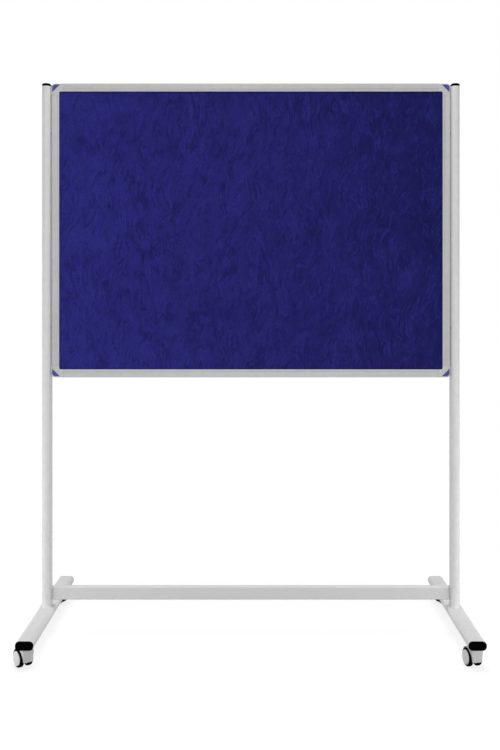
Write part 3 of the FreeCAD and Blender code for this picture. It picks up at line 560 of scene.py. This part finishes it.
def felt_mesh(name, node, way):
    """A felt sheet: thin under the frame's lips, full and brushed uneven in the opening."""
    sizes = settings().sizes
    low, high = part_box(node)
    opening_low = Vector((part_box("frame_left")[1].x, 0.0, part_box("frame_bottom")[1].z))
    opening_high = Vector((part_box("frame_right")[0].x, 0.0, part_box("frame_top")[0].z))
    middle = (opening_low + opening_high) / 2
    half = (opening_high - opening_low) / 2
    back, full = sorted((abs(low.y), abs(high.y)))
    lip = full - FELT_PROUD - sizes.lip_gap
    columns = round((high.x - low.x) / sizes.felt_step)
    rows = round((high.z - low.z) / sizes.felt_step)

    def height(x, z):
        depth = inside_by(x - middle.x, z - middle.z, half.x, half.z, OPENING_RADIUS)
        rise = min(max(depth / sizes.felt_roll, 0.0), 1.0)
        spot = Vector((x * BRUSH_ACROSS, way * FACE_STEP, z * BRUSH_UP))
        sway = Vector([noise.noise(Vector((x * SWAY_SCALE + shift, way, z * SWAY_SCALE)))
                       for shift in SWAY_SHIFTS])
        brushed = noise.fractal(spot + sway * SWAY_SHARE, *BRUSH_FRACTAL) * sizes.felt_relief
        swell = full - lip + brushed * rise - sizes.felt_relief / 2
        return lip + swell * rise * (2.0 - rise)

    mesh = bmesh.new()
    face = [[mesh.verts.new((x, way * height(x, z), z)) for x in steps(low.x, high.x, columns)]
            for z in steps(low.z, high.z, rows)]
    for lower, upper in zip(face, face[1:]):
        for column in range(columns):
            mesh.faces.new((lower[column], lower[column + 1], upper[column + 1], upper[column]))
    rim = (face[0][:columns] + [row[columns] for row in face[:rows]]
           + face[rows][:0:-1] + [row[0] for row in face[:0:-1]])
    base = [mesh.verts.new((spot.co.x, way * back, spot.co.z)) for spot in rim]
    for number in range(len(rim)):
        after = (number + 1) % len(rim)
        mesh.faces.new((rim[number], base[number], base[after], rim[after]))
    mesh.faces.new(list(reversed(base)))
    bmesh.ops.recalc_face_normals(mesh, faces=mesh.faces)
    for side in mesh.faces:
        side.smooth = True
    data = bpy.data.meshes.new(name)
    mesh.to_mesh(data)
    mesh.free()
    return data, (high.x - low.x, high.z - low.z)


class PINBOARD_OT_felts(bpy.types.Operator):
    """Lay the felt sheets on both faces of the board"""

    bl_idname = "pinboard.felts"
    bl_label = "Felt sheets"

    def execute(self, context):
        material = felt_finish(settings().colours.felt)
        sheets = (("front_felt_sheet", "front_felt", -1), ("rear_felt_sheet", "rear_felt", 1))
        for name, node, way in sheets:
            mesh, flat = felt_mesh(name, node, way)
            piece = new_piece(name, mesh, material)
            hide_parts(node)
        return {"FINISHED"}


class PINBOARD_OT_core(bpy.types.Operator):
    """Finish the softboard core"""

    bl_idname = "pinboard.core"
    bl_label = "Softboard core"

    def execute(self, context):
        dress(["board_core"], finish("softboard", settings().colours.softboard))
        return {"FINISHED"}


class PINBOARD_OT_frame(bpy.types.Operator):
    """Finish the aluminium frame, with drawn lines along each length"""

    bl_idname = "pinboard.frame"
    bl_label = "Aluminium frame"

    def execute(self, context):
        base, edge = settings().colours.anodised, settings().sizes.metal_edge
        dress(["frame_top", "frame_bottom"], finish("anodised_level", base), edge)
        dress(["frame_left", "frame_right"], finish("anodised_upright", base), edge)
        return {"FINISHED"}


class PINBOARD_OT_corners(bpy.types.Operator):
    """Finish the moulded corners and their blue caps"""

    bl_idname = "pinboard.corners"
    bl_label = "Corners and caps"

    def execute(self, context):
        colours, edge = settings().colours, settings().sizes.plastic_edge
        spots = [f"{level}_{hand}" for level in ("top", "bottom") for hand in HANDS]
        grey = finish("corner_grey", colours.corner_grey)
        blue = finish("corner_blue", colours.corner_blue)
        dress([f"corner_{spot}" for spot in spots], grey, edge)
        dress([f"corner_cap_{spot}" for spot in spots], blue, edge / 2)
        return {"FINISHED"}


class PINBOARD_OT_stand(bpy.types.Operator):
    """Finish the powder-coated posts, feet, welds and lower rail"""

    bl_idname = "pinboard.stand"
    bl_label = "Posts, feet and rail"

    def execute(self, context):
        colours = settings().colours
        tubes = [f"{hand}_{part}" for hand in HANDS for part in ("post", "foot")]
        dress(tubes + ["post_welds"], finish("powder_coat", colours.powder_coat))
        dress(["lower_rail"], finish("rail_coat", colours.rail_coat))
        return {"FINISHED"}


class PINBOARD_OT_caps(bpy.types.Operator):
    """Finish the black end caps and spacers"""

    bl_idname = "pinboard.caps"
    bl_label = "Black caps"

    def execute(self, context):
        ends = ("post", "foot_front", "foot_rear")
        caps = [f"{hand}_{end}_cap" for hand in HANDS for end in ends]
        material = finish("black", settings().colours.black)
        dress(caps + ["board_spacers"], material, settings().sizes.plastic_edge)
        return {"FINISHED"}


class PINBOARD_OT_fixings(bpy.types.Operator):
    """Finish the plated bolts, nuts, stems and axles"""

    bl_idname = "pinboard.fixings"
    bl_label = "Bolts, nuts and axles"

    def execute(self, context):
        axles = [f"{castor}_castor_axle" for castor in CASTORS]
        plated = ["rail_bolts", "board_bolts", "board_nuts", "castor_stems", "castor_nuts"]
        material = finish("zinc", settings().colours.zinc)
        dress(plated + axles, material, settings().sizes.metal_edge)
        return {"FINISHED"}


class PINBOARD_OT_castors(bpy.types.Operator):
    """Finish the castor hoods, wheels and tyres, and the rail's plugs in the hoods' grey"""

    bl_idname = "pinboard.castors"
    bl_label = "Castors"

    def execute(self, context):
        colours, edge = settings().colours, settings().sizes.plastic_edge
        pairs = [f"{castor}_{hand}" for castor in CASTORS for hand in HANDS]
        hoods = [f"{castor}_castor_hood" for castor in CASTORS]
        disc = finish("disc_grey", colours.disc_grey)
        dress(hoods + ["rail_end_plugs"], finish("hood_grey", colours.hood_grey), edge)
        dress([f"{pair}_wheel" for pair in pairs], disc, edge)
        dress([f"{pair}_tyre" for pair in pairs], finish("tyre", colours.tyre))
        return {"FINISHED"}


# Stage

PHOTO_WIDTH, PHOTO_HEIGHT = 500, 750
SENSOR_WIDTH = 36.0
LEVEL_VIEW = Euler((math.radians(90.0), 0.0, 0.0))

# Floor: its colour as the object sees it, the thinner colour and glow that the eye sees near the
# object, and the distances between which that goes over to white
FLOOR_MATT, FLOOR_THIN = (0.50, 0.50, 0.50, 1.0), (0.30, 0.30, 0.30, 1.0)
FLOOR_GLOW = 0.785
FADE_FROM, FADE_TO = 0.7, 1.6
FLOOR_SIDES = 96


class Lamp(NamedTuple):
    """A round soft lamp: the setting with its power, its place, its aim and its width."""

    power: str
    spot: tuple
    aim: tuple
    size: float


LAMPS = {
    "front_light": Lamp("front", (0.0, -5.0, 0.9), (0.0, 0.0, 0.7), 3.0),
    "left_light": Lamp("side", (-1.6, -0.45, 0.25), (-0.6, 0.0, 0.4), 0.6),
    "right_light": Lamp("side", (1.6, -0.45, 0.25), (0.6, 0.0, 0.4), 0.6),
    "top_light": Lamp("top", (0.0, 0.0, 3.8), (0.0, 0.0, 0.0), 2.5),
}


def seen_ray(tree):
    """One for rays that the eye follows, straight or by a reflection or through glass."""
    path = add(tree, "ShaderNodeLightPath")
    total = path.outputs["Is Camera Ray"]
    for kind in ("Is Glossy Ray", "Is Transmission Ray"):
        larger = add(tree, "ShaderNodeMath", operation="MAXIMUM")
        join(tree, (total, larger.inputs[0]), (path.outputs[kind], larger.inputs[1]))
        total = larger.outputs["Value"]
    return total


def floor_material():
    """Pale floor that goes over to plain white away from the object, and keeps its shadow."""
    material, tree, out = new_material("pale_floor")
    matt = add(tree, "ShaderNodeBsdfDiffuse")
    preset(matt, color=FLOOR_MATT)
    thin = add(tree, "ShaderNodeBsdfDiffuse")
    preset(thin, color=FLOOR_THIN)
    glow = add(tree, "ShaderNodeEmission")
    preset(glow, strength=FLOOR_GLOW)
    near = add(tree, "ShaderNodeAddShader")
    white = add(tree, "ShaderNodeEmission")
    away = add(tree, "ShaderNodeMixShader")
    seen = add(tree, "ShaderNodeMixShader")
    place = add(tree, "ShaderNodeTexCoord")
    reach = add(tree, "ShaderNodeVectorMath", operation="LENGTH")
    fade = add(tree, "ShaderNodeMapRange", interpolation_type="SMOOTHSTEP")
    preset(fade, from_min=FADE_FROM, from_max=FADE_TO)
    join(tree,
         (place.outputs["Object"], reach.inputs[0]),
         (reach.outputs["Value"], fade.inputs["Value"]),
         (thin.outputs[0], near.inputs[0]),
         (glow.outputs[0], near.inputs[1]),
         (fade.outputs["Result"], away.inputs[0]),
         (near.outputs[0], away.inputs[1]),
         (white.outputs[0], away.inputs[2]),
         (seen_ray(tree), seen.inputs[0]),
         (matt.outputs[0], seen.inputs[1]),
         (away.outputs[0], seen.inputs[2]),
         (seen.outputs[0], out.inputs["Surface"]))
    return material


def make_floor(radius):
    mesh = bmesh.new()
    bmesh.ops.create_circle(mesh, cap_ends=True, radius=radius, segments=FLOOR_SIDES)
    data = bpy.data.meshes.new("floor")
    mesh.to_mesh(data)
    mesh.free()
    floor = bpy.data.objects.new("floor", data)
    bpy.context.scene.collection.objects.link(floor)
    floor.location.z = CAD_BOX[0].z
    data.materials.append(floor_material())


def make_sky(strength):
    """White all round to the eye, and an even plain light on the object."""
    world = bpy.data.worlds.new("studio")
    bpy.context.scene.world = world
    world.use_nodes = True
    tree = world.node_tree
    tree.nodes.clear()
    out = add(tree, "ShaderNodeOutputWorld")
    light = add(tree, "ShaderNodeBackground")
    preset(light, color=WHITE, strength=strength)
    white = add(tree, "ShaderNodeBackground")
    preset(white, color=WHITE)
    both = add(tree, "ShaderNodeMixShader")
    join(tree,
         (seen_ray(tree), both.inputs[0]),
         (light.outputs[0], both.inputs[1]),
         (white.outputs[0], both.inputs[2]),
         (both.outputs[0], out.inputs["Surface"]))


def make_lamp(name, lamp, energy):
    data = bpy.data.lights.new(name, "AREA")
    data.shape = "DISK"
    data.size = lamp.size
    data.energy = energy
    piece = bpy.data.objects.new(name, data)
    piece.location = lamp.spot
    facing = Vector(lamp.aim) - Vector(lamp.spot)
    piece.rotation_euler = facing.to_track_quat("-Z", "Y").to_euler()
    piece.visible_camera = False
    piece.visible_glossy = False
    bpy.context.scene.collection.objects.link(piece)


def make_camera(studio):
    """The photograph's camera: level, in front of the board, and shifted down on the stand."""
    data = bpy.data.cameras.new("camera")
    data.sensor_width = SENSOR_WIDTH
    data.lens = SENSOR_WIDTH * studio.focal_pixels / PHOTO_HEIGHT
    data.shift_x = (PHOTO_WIDTH / 2 - studio.axis_across) / PHOTO_HEIGHT
    data.shift_y = (studio.axis_down - PHOTO_HEIGHT / 2) / PHOTO_HEIGHT
    camera = bpy.data.objects.new("camera", data)
    camera.location = (0.0, -studio.camera_distance, studio.camera_height)
    camera.rotation_euler = LEVEL_VIEW
    bpy.context.scene.collection.objects.link(camera)
    bpy.context.scene.camera = camera


class PINBOARD_OT_stage(bpy.types.Operator):
    """Set up the camera, the pale floor and the soft studio light"""

    bl_idname = "pinboard.stage"
    bl_label = "Stage"

    def execute(self, context):
        studio = settings().studio
        make_camera(studio)
        make_floor(studio.floor_radius)
        make_sky(studio.sky)
        for name, lamp in LAMPS.items():
            make_lamp(name, lamp, getattr(studio, lamp.power))
        context.scene.view_settings.view_transform = "Standard"
        return {"FINISHED"}


# Add-on

PIECE_OPERATORS = (PINBOARD_OT_felts, PINBOARD_OT_core, PINBOARD_OT_frame, PINBOARD_OT_corners,
                   PINBOARD_OT_stand, PINBOARD_OT_caps, PINBOARD_OT_fixings, PINBOARD_OT_castors)


class PINBOARD_PT_panel(bpy.types.Panel):
    """Lists the pinboard's pieces and settings"""

    bl_idname = "PINBOARD_PT_panel"
    bl_label = "Mobile Pinboard"
    bl_space_type = "VIEW_3D"
    bl_region_type = "UI"
    bl_category = "Pinboard"

    def draw(self, context):
        layout = self.layout
        for operator in (PINBOARD_OT_stage, *PIECE_OPERATORS):
            layout.operator(operator.bl_idname)
        for part in (settings().colours, settings().sizes, settings().studio):
            box = layout.box()
            for name in part.bl_rna.properties.keys():
                if name not in ("rna_type", "name"):
                    box.prop(part, name)


CLASSES = (PinboardColours, PinboardSizes, PinboardStudio, PinboardSettings, PINBOARD_OT_stage,
           *PIECE_OPERATORS, PINBOARD_PT_panel)


def register():
    for part in CLASSES:
        bpy.utils.register_class(part)
    bpy.types.Scene.pinboard = bpy.props.PointerProperty(type=PinboardSettings)


def unregister():
    del bpy.types.Scene.pinboard
    for part in reversed(CLASSES):
        bpy.utils.unregister_class(part)


def main():
    register()
    bpy.ops.pinboard.stage()
    bpy.ops.pinboard.felts()
    bpy.ops.pinboard.core()
    bpy.ops.pinboard.frame()
    bpy.ops.pinboard.corners()
    bpy.ops.pinboard.stand()
    bpy.ops.pinboard.caps()
    bpy.ops.pinboard.fixings()
    bpy.ops.pinboard.castors()


if __name__ == "__main__":
    main()
